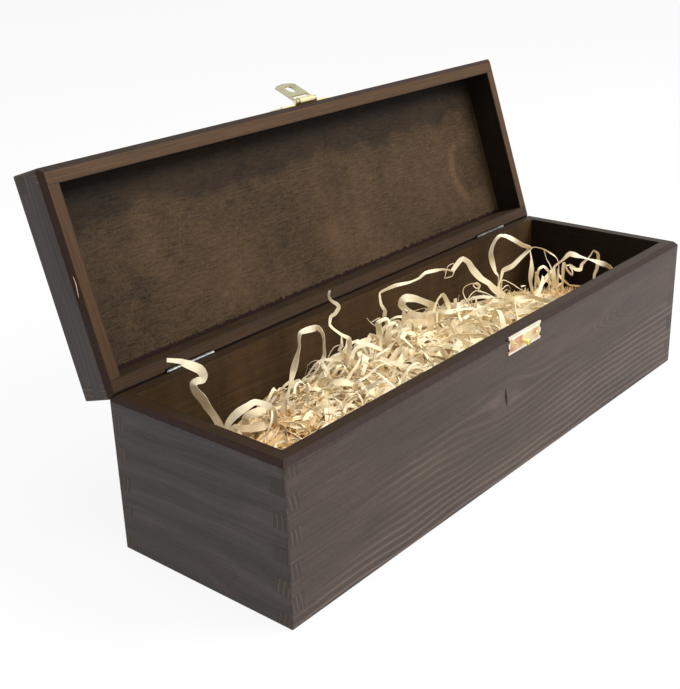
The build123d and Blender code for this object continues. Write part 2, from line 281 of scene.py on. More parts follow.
def case_space(graph, on_lid):
    """Place in mm and normal, both as if the lid were shut."""
    place = graph.node("ShaderNodeTexCoord", None, None, "Object")
    facing = graph.also(place, "Normal")
    turn = Matrix.Rotation(OPEN_ANGLE if on_lid else 0.0, 3, "X")
    shift = HINGE - turn @ HINGE
    angles = (OPEN_ANGLE if on_lid else 0.0, 0.0, 0.0)
    place = graph.node("ShaderNodeMapping", {"vector_type": "POINT"},
                       {"Vector": place, "Location": shift, "Rotation": angles,
                        "Scale": (1 / MM,) * 3})
    facing = graph.node("ShaderNodeMapping", {"vector_type": "VECTOR"},
                        {"Vector": facing, "Rotation": angles})
    return graph.split(place), graph.split(facing)


def dress(names, material):
    """Gives CAD nodes their material."""
    for name in names:
        NODES[name].data.materials.clear()
        NODES[name].data.materials.append(material)


# ---- boards ----------------------------------------------------------------------------------

def stained_board(name, wood, grain, outer, inner, seed, on_lid=False, spacing=3.4, figure=9.0,
                  lines=0.35, bands=0.0, lower=0.0, further=0.0, rim_share=0.36, knots=(), marks=None):
    """Stained softwood whose grain runs along X or Y."""
    def build(g):
        (x, y, z), (nx, ny, nz) = case_space(g, on_lid)
        along, depth, end_facing = (x, y, abs(nx)) if grain == "X" else (y, x, abs(ny))
        # growth lines: contours of a slowly waving height
        wave = g.noise(g.vector(along * 0.0085 + seed, z * 0.012, depth * 0.012), 1.0, 2.0, 0.45)
        drift = g.noise(g.vector(along * 0.03 + seed, z * 0.06, depth * 0.05), 1.0, 2.0, 0.5)
        level = z + (wave - 0.5) * figure * 4 + (drift - 0.5) * figure * 0.5
        for knot_along, knot_z, size in knots:
            away = ((along - knot_along) * (along - knot_along) * 0.14
                    + (z - knot_z) * (z - knot_z)) / (size * size)
            level = level - (z - knot_z) * (2.718 ** -away) * 0.8
        phase = level / spacing + seed
        line = ((phase * math.tau).sin() * 0.5 + 0.5) ** 3
        strong = g.noise(g.vector(along * 0.009, z * 0.03, seed * 3.1), 1.0, 1.0)
        strong = (strong + (30 - z) * lower + along * further).above(0.3, 0.62)
        band = (level / 15 * math.tau).sin()
        fibre = g.noise(g.vector(along * 0.025, z * 0.95, depth * 0.95), 1.0, 5.0, 0.72)
        fine = g.noise(g.vector(along * 0.4, z * 4.0, depth * 4.0), 1.0, 2.0, 0.6)
        cloud = g.noise(g.vector(along * 0.016 + seed * 2, z * 0.04, depth * 0.04), 1.0, 3.0, 0.55)
        shade = g.blend(outer, wood.warm, cloud.above(0.45, 0.8) * 0.4)
        shade = g.dim(shade, 0.66 + cloud * 0.42 + (fibre - 0.5) * 1.25 + line * strong * lines
                      + band * bands + (fine - 0.5) * 0.9)
        # end grain: pale growth rings cut across, with fine pores
        ring = ((depth + (z - 40) * 0.16 + wave * 9 + drift * 3) / 2.7).fraction()
        arc = ring.above(0.6, 0.78) * ring.below(0.82, 0.97)
        pores = g.noise(g.vector(x * 2.2, y * 2.2, z * 2.2), 1.0, 3.0, 0.7)
        finger = (z - (RIM + 0.3 - 3.0 if on_lid else 0.0)) / FINGER
        zone = g.noise(g.vector(seed + 0.5, 3.3, (finger - finger.fraction()) * 0.7), 1.0, 0.0)
        arc = arc * (0.2 + pores * 1.1) * zone.above(0.2, 0.4)
        end_shade = g.dim(wood.face, 0.74 + arc * 0.85 + (pores - 0.5) * 0.7 + (zone - 0.5) * 0.3)
        shade = g.blend(shade, end_shade, end_facing.above(0.7, 0.9))
        # inner faces are browner, rims too; the inner colour of some boards is painted shade
        within = (INNER_X + 0.2 - abs(x)).above(0.0, 0.1) * (INNER_Y + 0.2 - abs(y)).above(0.0, 0.1)
        stain = g.noise(g.vector(x * 0.05, y * 0.05, z * 0.012 + seed), 1.0, 3.0, 0.6)
        lining = g.dim(inner, 0.5 + cloud * 0.5 + (fibre - 0.5) * 1.2 + (fine - 0.5) * 0.8
                       + (stain - 0.5) * 1.5 + line * strong * 0.15)
        shade = g.blend(shade, lining, within)
        level_face = abs(nz).above(0.86, 0.95) * (abs(z - RIM)).below(0.5, 1.0)
        streak = g.noise(g.vector(along * 0.03, depth * 1.1, seed), 1.0, 4.0, 0.65)
        rim = g.dim(wood.rim, 0.28 + streak * 1.25 + (fibre - 0.5) * 0.5 + (pores - 0.5) * 0.4)
        inner_lip = (abs(abs(depth) - (INNER_Y if grain == "X" else INNER_X))).below(0.1, 1.1)
        shade = g.blend(shade, g.dim(rim, (1 - inner_lip * 0.45) * rim_share), level_face)
        # soaked edges and the lines between the fingers
        slope = (abs(abs(nz) - 0.707)).below(0.08, 0.26)
        rough_edge = g.noise(g.vector(x * 0.3, y * 0.3, z * 0.3), 1.0, 4.0, 0.7)
        shade = g.blend(shade, g.dim(wood.edge, 0.5 + rough_edge), slope * (0.72 + rough_edge * 0.3))
        near_rim = (abs(z - RIM)).below(2.4, 5.0) * (1 - level_face) * (1 - within)
        shade = g.blend(shade, wood.edge, near_rim * rough_edge.above(0.35, 0.7) * 0.5)
        at_step = (finger.fraction().least(1 - finger.fraction())).below(0.012, 0.05)
        corner = (abs(x) - (INNER_X - 0.4)).above(0.0, 0.2) * (abs(y) - (INNER_Y - 0.4)).above(0.0, 0.2)
        seam = (abs(abs(y) - INNER_Y)).below(0.1, 0.4) * abs(nx).above(0.7, 0.9)
        seam = seam.most((abs(abs(x) - INNER_X)).below(0.1, 0.4) * abs(ny).above(0.7, 0.9))
        joint = (at_step.most(seam)) * corner * end_facing.above(0.7, 0.9)
        joint = joint * (1 - within) * (1 - level_face) * rough_edge.above(0.3, 0.6)
        shade = g.blend(shade, wood.edge, joint * 0.45)
        height = line * strong * 0.35 + fibre * 0.6 + fine * 0.25 - joint * 1.2 + arc * 0.3
        if marks:
            shade, height = marks(g, wood, shade, height, (x, y, z), (nx, ny, nz))
        rough = 0.5 + (fibre - 0.5) * 0.2 + within * 0.16 + slope * 0.1
        return {"Base Color": shade, "Roughness": rough, "height": height, "strength": 0.45,
                "reach": 0.3 * MM}
    return surface(name, build, **{"Specular IOR Level": 0.17})


def front_marks(g, wood, shade, height, place, facing):
    """The split in the knot, a pale sweep at the right and the swirl by the corner of the front; the split and
    the swirl's centre are painted dark as painted shade.
    """
    x, y, z = place
    outside = (-facing[1]).above(0.6, 0.9)
    lean = (z - 47) * -0.2
    wander = (g.noise(g.vector(z * 0.35, 1.7, 0.4), 1.0, 2.0) - 0.5) * 1.4
    thick = (1 - abs(z - 47) / 7.2) * 1.3
    split = (abs(x + 15.4 - lean + wander) - thick).below(-0.3, 0.12) * (abs(z - 47)).below(6.0, 7.2)
    far = (((x + 15.4) * (x + 15.4) * 0.3 + (z - 47) * (z - 47)) ** 0.5
           + (g.noise(g.vector(x * 0.12, z * 0.12, 2.0), 1.0, 2.0) - 0.5) * 5)
    shade = g.dim(shade, 1 + (far.below(6.0, 11.0) - far.below(2.0, 6.0) * 1.4) * 0.14)
    # painted shade: the split is painted near-black where the crack lies in shadow
    shade = g.blend(shade, tone("070403"), split * outside)
    # the sweep: nested pale curves that open to the right
    arm = ((z - 57) * (z - 57) * 0.32 - (x - 78)
           + (g.noise(g.vector(x * 0.06, z * 0.1, 5.0), 1.0, 2.0) - 0.5) * 6)
    curve = ((arm / 7.5 * math.tau).sin() * 0.5 + 0.5) ** 5 * arm.below(0.0, 9.0) * (-arm).below(22.0, 40.0)
    shade = g.dim(shade, 1 + curve * outside * (x - 70).above(0.0, 8.0) * 0.34)
    swirl = ((x + 176.2) * (x + 176.2) + (z - 77.0) * (z - 77.0)) ** 0.5
    # painted shade: the swirl's centre is painted with the dark edge colour
    hole_shade = swirl.below(0.5, 0.9)
    halo = (abs(swirl - 1.7)).below(0.15, 0.5)
    shade = g.blend(g.dim(shade, 1 + halo * outside * 0.8), wood.edge, hole_shade * outside)
    return shade, height - split * 2.0


def panel_wood(name, wood, seed, on_lid, spilt):
    """Stained plywood: blotchy veneer with painted shade along the boards, on the lid with a round knot and a
    ragged line of stain.
    """
    def build(g):
        (x, y, z), (nx, ny, nz) = case_space(g, on_lid)
        cloud = g.noise(g.vector(x * 0.012 + seed, y * 0.018, 1.0), 1.0, 3.0, 0.55, 0.4)
        blotch = g.noise(g.vector(x * 0.035 + seed, y * 0.06, 4.0), 1.0, 4.0, 0.6, 0.8)
        fibre = g.noise(g.vector(x * 0.14, y * 0.95, seed), 1.0, 5.0, 0.78)
        cross = g.noise(g.vector(x * 1.6, y * 0.25, seed + 2), 1.0, 4.0, 0.65)
        ripple = g.noise(g.vector(x * 0.07, y * 0.011, seed + 6), 1.0, 2.0, 0.5)
        shade = g.dim(wood.plywood, (0.9 + (cloud - 0.5) * 1.3 + (blotch - 0.5) * 0.8
                      + (fibre - 0.5) * 2.6 + (cross - 0.5) * 1.5 + (ripple - 0.5) * 0.6).most(0.2))
        scratch = g.noise(g.vector(x * 0.5, y * 4.2, seed + 11), 1.0, 2.0, 0.5).above(0.69, 0.78)
        shade = g.dim(shade, 1 + scratch * 0.8)
        if spilt:
            far = (((x - 150) * (x - 150) + (y - 11) * (y - 11) * 0.8) ** 0.5
                   + (g.noise(g.vector(x * 0.05, y * 0.05, 7.0), 1.0, 3.0) - 0.5) * 9)
            crescent = (abs(far - 17)).below(1.0, 5.5) * (150 - x).above(4.0, 16.0)
            rings = ((far / 3.6 * math.tau).sin() * 0.5 + 0.5) * far.below(11.0, 16.0)
            shade = g.dim(shade, 1 + crescent * 0.45 - far.below(13.0, 17.0) * 0.25 + rings * 0.1)
        # darker band along the front board with a scalloped edge, and painted shade right beside the front
        # board
        edge_noise = g.noise(g.vector(x * 0.022, 0.0, seed + 3), 1.0, 2.0, 0.6)
        reach = INNER_Y + y - edge_noise * 42
        shade = g.dim(shade, 1 - reach.below(-4.0, 5.0) * 0.5 - (INNER_Y + y).below(2.0, 14.0) * 0.25)
        # painted shade along the left and right end boards
        shade = g.dim(shade, (1 - (INNER_X + x).below(2.0, 30.0) * 0.3)
                      * (1 - (INNER_X - x).below(2.0, 26.0) * 0.22))
        if spilt:
            ragged = g.noise(g.vector(x * 0.25, 0.0, 9.0), 1.0, 5.0, 0.8) * 9.0 - 2.3
            spill = ((INNER_Y - y) - ragged).below(-0.3, 0.3)
            shade = g.blend(shade, tone("1d0a08"), spill * 0.94)
        outer = (nz if on_lid else nz * -1).above(0.4, 0.6)
        veneer = g.noise(g.vector(x * 0.012, y * 0.35 + cloud * 4, seed + 20), 1.0, 5.0, 0.7)
        skin = g.dim(tuple(wood.face), 0.95 + (cloud - 0.5) * 0.6 + (blotch - 0.5) * 0.4
                     + (veneer - 0.5) * 1.5 + (fibre - 0.5) * 0.8)
        shade = g.blend(shade, skin, outer)
        edge = abs(nz).below(0.3, 0.6)
        ply = ((z * 1.15).fraction()).above(0.45, 0.55)
        shade = g.dim(shade, 1 - edge * ply * 0.35)
        return {"Base Color": shade, "Roughness": 0.56 + (blotch - 0.5) * 0.24,
                "height": fibre * 0.6 + cross * 0.4, "strength": 0.35, "reach": 0.2 * MM}
    return surface(name, build, **{"Specular IOR Level": 0.1})


class BOTTLEBOX_OT_boards(bpy.types.Operator):
    """Stain the eight boards, each along its own grain"""
    bl_idname = "bottle_box.boards"
    bl_label = "Stain Boards"

    def execute(self, context):
        wood = context.scene.box_wood
        face, end, inside, painted_shade = (tuple(c) for c in (wood.face, wood.end, wood.inside, wood.painted_shade))
        # half the inside stain and half painted shade, for the inner face of the lid's back board
        inside_half_shade = tuple((a + b) / 2 for a, b in zip(inside, painted_shade))
        spacing = wood.ring_spacing
        plan = [
            ("base_front_board", "X", face, inside, 1.7,
             {"spacing": spacing * 1.2, "figure": 3.0, "lines": 0.75, "lower": 0.011,
              "further": 0.0009, "knots": [(-15.4, 47.0, 12.0)],
              "marks": front_marks}),
            ("base_back_board", "X", face, inside, 5.3,
             {"spacing": spacing * 1.4, "knots": [(70.0, 30.0, 9.0)]}),
            ("base_left_end", "Y", end, inside, 9.1,
             {"spacing": spacing * 1.7, "figure": 9.0, "lines": 0.14, "bands": 0.13}),
            ("base_right_end", "Y", end, painted_shade, 13.9, {"figure": 9.0, "bands": 0.08}),
            ("lid_front_board", "X", face, painted_shade, 21.3,
             {"on_lid": True, "figure": 5.0, "rim_share": 1.0}),
            ("lid_back_board", "X", face, inside_half_shade, 27.7,
             {"on_lid": True, "figure": 5.0, "rim_share": 0.6}),
            ("lid_left_end", "Y", end, inside, 33.1,
             {"on_lid": True, "figure": 3.0, "lines": 0.12, "bands": 0.05, "rim_share": 0.9}),
            ("lid_right_end", "Y", end, painted_shade, 39.7,
             {"on_lid": True, "figure": 5.0, "rim_share": 1.0}),
        ]
        for node, grain, outer, inner, seed, more in plan:
            dress([node], stained_board(f"stain_{node}", wood, grain, outer, inner, seed, **more))
        return {"FINISHED"}


class BOTTLEBOX_OT_panels(bpy.types.Operator):
    """Stain the plywood of the bottom and of the lid"""
    bl_idname = "bottle_box.panels"
    bl_label = "Stain Panels"

    def execute(self, context):
        wood = context.scene.box_wood
        dress(["lid_top_panel"], panel_wood("stain_lid_panel", wood, 3.0, True, True))
        dress(["base_bottom_panel"], panel_wood("stain_bottom_panel", wood, 8.0, False, False))
        return {"FINISHED"}


class BOTTLEBOX_OT_splinters(bpy.types.Operator):
    """Raise the pale splinters along the sawn edge of the lid's left end"""
    bl_idname = "bottle_box.splinters"
    bl_label = "Raise Splinters"

    # middle along Y and length in mm, on the chamfer of the shut lid
    places = ((0.5, 10.5, 0.42),)

    def execute(self, context):
        mesh = bmesh.new()
        turn = Matrix.Translation(HINGE) @ Matrix.Rotation(-OPEN_ANGLE, 4, "X") \
            @ Matrix.Translation(-HINGE)
        for middle, length, width in self.places:
            out = Vector((-1, 0, -1)).normalized()
            across = Vector((1, 0, -1)).normalized()
            centre = Vector((-HALF_LENGTH + 1.2, middle, RIM + 0.3 + 1.2))
            rings = []
            for step in range(9):
                share = step / 8
                swell = math.sin(math.pi * share) ** 0.6 * width / 2 + 0.02
                spine = centre + Vector((0, (share - 0.5) * length, 0)) \
                    + across * math.sin(share * 5) * 0.25
                rings.append([mesh.verts.new(turn @ (spine + across * swell * c + out * lift) * MM)
                              for c, lift in ((-1, -0.03), (0, 0.1), (1, -0.03), (0, -0.15))])
            for low, high in zip(rings, rings[1:]):
                for i in range(4):
                    mesh.faces.new((low[i], low[(i + 1) % 4], high[(i + 1) % 4], high[i]))
            mesh.faces.new(rings[0][::-1])
            mesh.faces.new(rings[-1])
        bmesh.ops.recalc_face_normals(mesh, faces=mesh.faces)
        data = bpy.data.meshes.new("lid_splinters")
        mesh.to_mesh(data)
        mesh.free()
        piece = bpy.data.objects.new("lid_splinters", data)
        context.scene.collection.objects.link(piece)

        def build(g):
            place = g.node("ShaderNodeTexCoord", None, None, "Object")
            grain = g.noise(place, 900.0, 2.0)
            return {"Base Color": g.dim(tone("d8b79a"), 0.75 + grain * 0.45), "Roughness": 0.7}
        data.materials.append(surface("bare_splinter", build))
        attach(piece, "lid")
        return {"FINISHED"}


# ---- fittings --------------------------------------------------------------------------------

def plated(name, pale, flush, roughness, flush_share):
    """Thin bright plating with faint scratches and a tint that comes and goes."""
    def build(g):
        place = g.node("ShaderNodeTexCoord", None, None, "Object")
        blotch = g.noise(place, 160.0, 2.0, 0.5, 0.6)
        scratch = g.noise(g.node("ShaderNodeMapping", None,
                                 {"Vector": place, "Rotation": (0.3, 0.7, 0.5),
                                  "Scale": (300.0, 300.0, 5000.0)}), 1.0, 2.0, 0.6)
        shade = g.blend(pale, flush, blotch.above(0.5, 0.72) * flush_share)
        shade = g.dim(shade, 0.88 + scratch * 0.22)
        return {"Base Color": shade, "Roughness": roughness + (scratch - 0.5) * 0.12,
                "height": scratch, "strength": 0.08, "reach": 0.1 * MM}
    return surface(name, build, Metallic=1.0)


class BOTTLEBOX_OT_hinges(bpy.types.Operator):
    """Plate the two hinges, their pins and their screws"""
    bl_idname = "bottle_box.hinges"
    bl_label = "Plate Hinges"

    def execute(self, context):
        metal = context.scene.box_metal
        zinc = plated("hinge_zinc", tuple(metal.zinc), tone("b9b39f"), 0.32, 0.5)
        dress([n for n in NODES if "hinge" in n], zinc)
        return {"FINISHED"}


class BOTTLEBOX_OT_latch(bpy.types.Operator):
    """Plate the latch on the lid and the catch on the case"""
    bl_idname = "bottle_box.latch"
    bl_label = "Plate Latch"

    def flushed_plate(self, brass, flush):
        """The catch's plate: golden by the stud, flushed pink beside it, with a painted highlight along its
        border.
        """
        low, high = (Vector(c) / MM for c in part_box("catch_plate"))
        middle, half = (low + high) / 2, (high - low) / 2

        def build(g):
            place = g.node("ShaderNodeTexCoord", None, None, "Object")
            x, y, z = g.split(place)
            x, z = x / MM - middle.x, z / MM - middle.z
            blotch = g.noise(place, 120.0, 2.0, 0.5, 0.5)
            border = (half.z - abs(z)).least(half.x - abs(x)).below(1.0, 2.0)
            pink = abs(x).above(2.0, 5.0) * (blotch.above(0.36, 0.6) * 0.8 + 0.15)
            shade = g.blend(brass, flush, pink)
            # painted highlight: a near-white band along the border
            shade = g.blend(shade, tone("f7ecd8"), border * 0.85)
            return {"Base Color": g.dim(shade, 0.9 + blotch * 0.18),
                    "Roughness": 0.24 + blotch * 0.1, "height": blotch, "strength": 0.1,
                    "reach": 0.1 * MM}
        return surface("catch_brass", build, Metallic=0.85)

    def execute(self, context):
        metal = context.scene.box_metal
        brass, flush = tuple(metal.brass), tuple(metal.flush)
        dress(["latch_plate", "latch_pin", "latch_nails"], plated("latch_brass", brass, flush, 0.24, 0.2))
        dress(["latch_tongue"], plated("tongue_brass", tone("b9b592"), tone("94926f"), 0.3, 0.7))
        dress(["catch_plate"], self.flushed_plate(brass, flush))
        dress(["catch_stud", "catch_nails"], plated("stud_brass", tone("f4e690"), tone("8a7a2c"), 0.2, 0.6))
        return {"FINISHED"}


# ---- wood wool -------------------------------------------------------------------------------

BED = NODES["wood_wool"]
TO_VIEWER = Vector((-0.70, -0.60, 0.38)).normalized()


def bed_heights():
    """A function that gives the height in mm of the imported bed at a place."""
    tree = BVHTree.FromPolygons([v.co.copy() for v in BED.data.vertices],
                                [tuple(p.vertices) for p in BED.data.polygons])

    def height(x, y):
        x = max(-INNER_X + 1, min(INNER_X - 1, x))
        y = max(-INNER_Y + 1, min(INNER_Y - 1, y))
        found = tree.ray_cast(Vector((x * MM, y * MM, 0.2)), Vector((0, 0, -1)))
        return found[0].z / MM if found[0] else 4.0
    return height


def orthogonal(direction, guide):
    """guide without its share along direction, of length 1."""
    left = guide - direction * guide.dot(direction)
    if left.length < 1e-4:
        left = direction.orthogonal()
    return left.normalized()


def crest(x, loft):
    """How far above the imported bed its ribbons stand: less towards the two ends."""
    return min(loft, (x + 118) * 0.13 - 1.5, max(-8.0, (62 - x) * 0.12))


def wander(rng, height, x_range, depth, loft, width):
    """One shaving of the bed: straight runs, sharp folds and curls, kept within the case."""
    pace = 2.7
    steps = int(rng.uniform(40, 140) / pace)
    x, y = rng.uniform(*x_range), rng.uniform(-INNER_Y + 3, INNER_Y - 3)
    surface_layer = rng.random() < 0.62
    floor = -1.6 if surface_layer else -depth
    lift = rng.uniform(floor, 0.0)
    top = rng.choice((rng.uniform(-1, 1), rng.uniform(-1, 1), rng.uniform(1, loft)))
    proud = rng.random() < 0.07 and -85 < x < 70
    if proud:
        top, floor = rng.uniform(loft, 2 * loft), -1.0
    ahead = Vector((rng.gauss(0, 1), rng.gauss(0, 0.8), rng.gauss(0, 0.25))).normalized()
    upright = 1.6 if rng.random() < 0.6 else 0.5
    across = orthogonal(ahead, Vector((rng.gauss(0, 0.6), rng.gauss(0, 0.6), upright)))
    bend, hold = 1 / rng.uniform(20, 80), rng.randint(2, 8)
    twist = rng.gauss(0, 0.05)
    spot = Vector((x, y, lift))
    points, sides = [], []
    for _ in range(max(6, steps)):
        points.append(Vector((spot.x, spot.y, height(spot.x, spot.y) + spot.z)))
        sides.append(across.copy())
        ahead = Matrix.Rotation(bend * pace, 3, across) @ ahead
        across = Matrix.Rotation(twist * pace, 3, ahead) @ across
        pull = Vector((0, 0, 0))
        if abs(spot.x) > INNER_X - 9:
            pull.x = -math.copysign(0.45, spot.x)
        if abs(spot.y) > INNER_Y - 7:
            pull.y = -math.copysign(0.5, spot.y)
        ceiling = top if proud else min(top, crest(spot.x, loft))
        if spot.z > ceiling:
            pull.z = -0.5
        if spot.z < floor:
            pull.z = 0.35
        ahead = (ahead + pull).normalized()
        across = orthogonal(ahead, across)
        hold -= 1
        if hold <= 0:
            kind = rng.random()
            way = rng.choice((-1, 1))
            if kind < 0.58:
                bend, hold = way / rng.uniform(18, 90), rng.randint(3, 9)
            elif kind < 0.84:
                bend, hold = way / rng.uniform(5.5, 13), rng.randint(3, 8)
            else:
                bend, hold = way / rng.uniform(2.6, 4.0), rng.randint(1, 2)
            twist = rng.gauss(0, 0.04)
        spot = spot + ahead * pace
        spot.x = max(-INNER_X + 1.8, min(INNER_X - 1.8, spot.x))
        spot.y = max(-INNER_Y + 1.8, min(INNER_Y - 1.8, spot.y))
        spot.z = min(spot.z, ceiling + 1.5)
    wide = width * rng.choice((0.16, 0.26, 0.4, 0.55, 0.7, 0.85, 0.95, 1.05, 1.25)[:6 if proud else 9])
    last = len(points) - 1
    widths = [wide * (0.15 + 0.85 * min(1, 3 * i * pace / 9, 3 * (last - i) * pace / 9))
              * (1 + 0.14 * math.sin(i * 0.9 + wide)) for i in range(last + 1)]
    shade = rng.random() * 0.85 + (0.3 if x < -100 else 0.0)
    return points, sides, widths, shade


def smooth_path(corners, pace):
    """Points a pace apart on a curve through the corners."""
    ends = [2 * corners[0] - corners[1], *corners, 2 * corners[-1] - corners[-2]]
    path = []
    for a, b, c, d in zip(ends, ends[1:], ends[2:], ends[3:]):
        steps = max(2, int((c - b).length / pace))
        for i in range(steps):
            t = i / steps
            start, stop = (c - a) * 0.32, (d - b) * 0.32
            path.append(b * (2 * t ** 3 - 3 * t * t + 1) + start * (t ** 3 - 2 * t * t + t)
                        + c * (3 * t * t - 2 * t ** 3) + stop * (t ** 3 - t * t))
    return path + [corners[-1]]


def laid(corners, width, warmth, rooted, height, rng, roll):
    """A loose shaving through given corners in mm, with its rooted ends pushed into the bed."""
    corners = [Vector(c) for c in corners]
    for end in (0, -1):
        if rooted in ("both", "start" if end == 0 else "end"):
            tip = corners[end]
            under = Vector((tip.x, tip.y, min(height(tip.x, tip.y) - 4, tip.z - 3)))
            corners.insert(0 if end == 0 else len(corners), under)
    points = smooth_path(corners, 1.1)
    sides, widths = [], []
    phase, pitch = rng.uniform(0, 6.28), rng.uniform(14, 26)
    for i, point in enumerate(points):
        ahead = (points[min(i + 1, len(points) - 1)] - points[max(i - 1, 0)]).normalized()
        flat = orthogonal(ahead, ahead.cross(TO_VIEWER))
        turn = roll * math.sin(i / pitch * math.pi + phase)
        side = Matrix.Rotation(turn, 3, ahead) @ flat
        if sides and side.dot(sides[-1]) < 0:
            side = -side
        sides.append(side)
        share = i / (len(points) - 1)
        widths.append(width * (0.5 + 0.5 * min(1, 6 * share, 6 * (1 - share))
                               + 0.14 * math.sin(i * 0.35 + phase)))
    return points, sides, widths, warmth


def strand_lines(name, strands, height, depth):
    """The strands' middle lines, with the numbers that the ribbon tree reads."""
    points, edges, sides, widths, along, tones, sunk = [], [], [], [], [], [], []
    for line, across, wide, shade in strands:
        start, run = len(points), 0.0
        for i, point in enumerate(line):
            if i:
                edges.append((start + i - 1, start + i))
                run += (point - line[i - 1]).length
            points.append(point * MM)
            sides.append(across[i])
            widths.append(wide[i] * MM)
            along.append(run)
            tones.append(shade)
            # how far below the bed's surface a point lies, which the wool finish turns into painted shade
            below = (height(point.x, point.y) - point.z) / depth
            sunk.append(max(0.0, min(1.0, 0.25 + below)))
    mesh = bpy.data.meshes.new(name)
    mesh.from_pydata([tuple(p) for p in points], edges, [])
    store = mesh.attributes.new("across", "FLOAT_VECTOR", "POINT")
    store.data.foreach_set("vector", np.array(sides, np.float32).ravel())
    for label, values in (("ribbon_width", widths), ("along", along), ("tone", tones),
                          ("sunk", sunk)):
        store = mesh.attributes.new(label, "FLOAT", "POINT")
        store.data.foreach_set("value", np.array(values, np.float32))
    piece = bpy.data.objects.new(name, mesh)
    bpy.context.scene.collection.objects.link(piece)
    return piece


def ribbon_tree():
    """Geometry nodes that turn lines into thin flat ribbons."""
    tree = bpy.data.node_groups.new("ribbons", "GeometryNodeTree")
    faces = tree.interface
    faces.new_socket("Geometry", in_out="INPUT", socket_type="NodeSocketGeometry")
    faces.new_socket("Thickness Share", in_out="INPUT", socket_type="NodeSocketFloat")
    faces.new_socket("Material", in_out="INPUT", socket_type="NodeSocketMaterial")
    faces.new_socket("Geometry", in_out="OUTPUT", socket_type="NodeSocketGeometry")
    g = Graph(tree)
    lines = g.node("NodeGroupInput")
    thin, finish = g.also(lines, 1), g.also(lines, 2)
    curve = g.node("GeometryNodeMeshToCurve", None, {"Mesh": lines})

    def stored(name, kind):
        return g.node("GeometryNodeInputNamedAttribute", {"data_type": kind}, {"Name": name})
    curve = g.node("GeometryNodeSetCurveNormal", {"mode": "FREE"},
                   {"Curve": curve, "Normal": stored("across", "FLOAT_VECTOR")})
    profile = g.node("GeometryNodeCurvePrimitiveQuadrilateral", None, {"Width": 1.0, "Height": thin})
    place = g.node("GeometryNodeInputPosition")
    side = g.split(place)[0] * 2.0
    profile = g.node("GeometryNodeStoreNamedAttribute", {"data_type": "FLOAT", "domain": "POINT"},
                     {"Geometry": profile, "Name": "side", "Value": side})
    mesh = g.node("GeometryNodeCurveToMesh", None,
                  {"Curve": curve, "Profile Curve": profile, "Fill Caps": True,
                   "Scale": stored("ribbon_width", "FLOAT")})
    angle = g.node("GeometryNodeInputMeshEdgeAngle")
    sharp = g.node("FunctionNodeCompare", {"data_type": "FLOAT", "operation": "GREATER_THAN"},
                   {0: angle, 1: 0.9})
    mesh = g.node("GeometryNodeSetShadeSmooth", {"domain": "EDGE"},
                  {"Geometry": mesh, "Selection": sharp, "Shade Smooth": False})
    mesh = g.node("GeometryNodeRealizeInstances", None, {"Geometry": mesh})
    mesh = g.node("GeometryNodeSetMaterial", None, {"Geometry": mesh, "Material": finish})
    g.node("NodeGroupOutput", None, {0: mesh}, None)
    return tree


def grown(piece, tree, values):
    """Runs the tree on the piece once and keeps the result as its plain mesh."""
    modifier = piece.modifiers.new("ribbons", "NODES")
    modifier.node_group = tree
    sockets = {s.name: s.identifier for s in tree.interface.items_tree if s.in_out == "INPUT"}
    for name, value in values.items():
        modifier[sockets[name]] = value
    dependencies = bpy.context.evaluated_depsgraph_get()
    made = bpy.data.meshes.new_from_object(piece.evaluated_get(dependencies))
    piece.modifiers.clear()
    piece.data = made
    return piece


def wool_finish(name, wool, dusk=0.0):
    """Fresh softwood shavings: pale on top, tan at random and as painted shade further down, with lengthwise
    grain.
    """
    def build(g):
        side, along = g.attribute("side"), g.attribute("along")
        own, sunk = g.attribute("tone"), g.attribute("sunk")
        streak = g.noise(g.vector(side * 3.5 + own * 90, along * 0.05, own * 31), 1.0, 3.0, 0.6)
        patch = g.noise(g.vector(own * 57, along * 0.035, 0.3), 1.0, 2.0, 0.5)
        # painted shade: sunk turns ribbons low in the bed tan, on top of each strand's own random tone
        warm = (own * 0.75 + sunk * 0.8 + (patch - 0.5) * 1.0 + dusk - 0.32).above(0.0, 1.1)
        shade = g.blend(tuple(wool.pale), tuple(wool.tan), warm)
        shade = g.dim(shade, 0.8 + streak * 0.36)
        return {"Base Color": shade, "Roughness": 0.55 + (streak - 0.5) * 0.2,
                "height": streak, "strength": 0.25, "reach": 0.1 * MM}
    return surface(name, build, **{"Specular IOR Level": 0.25})


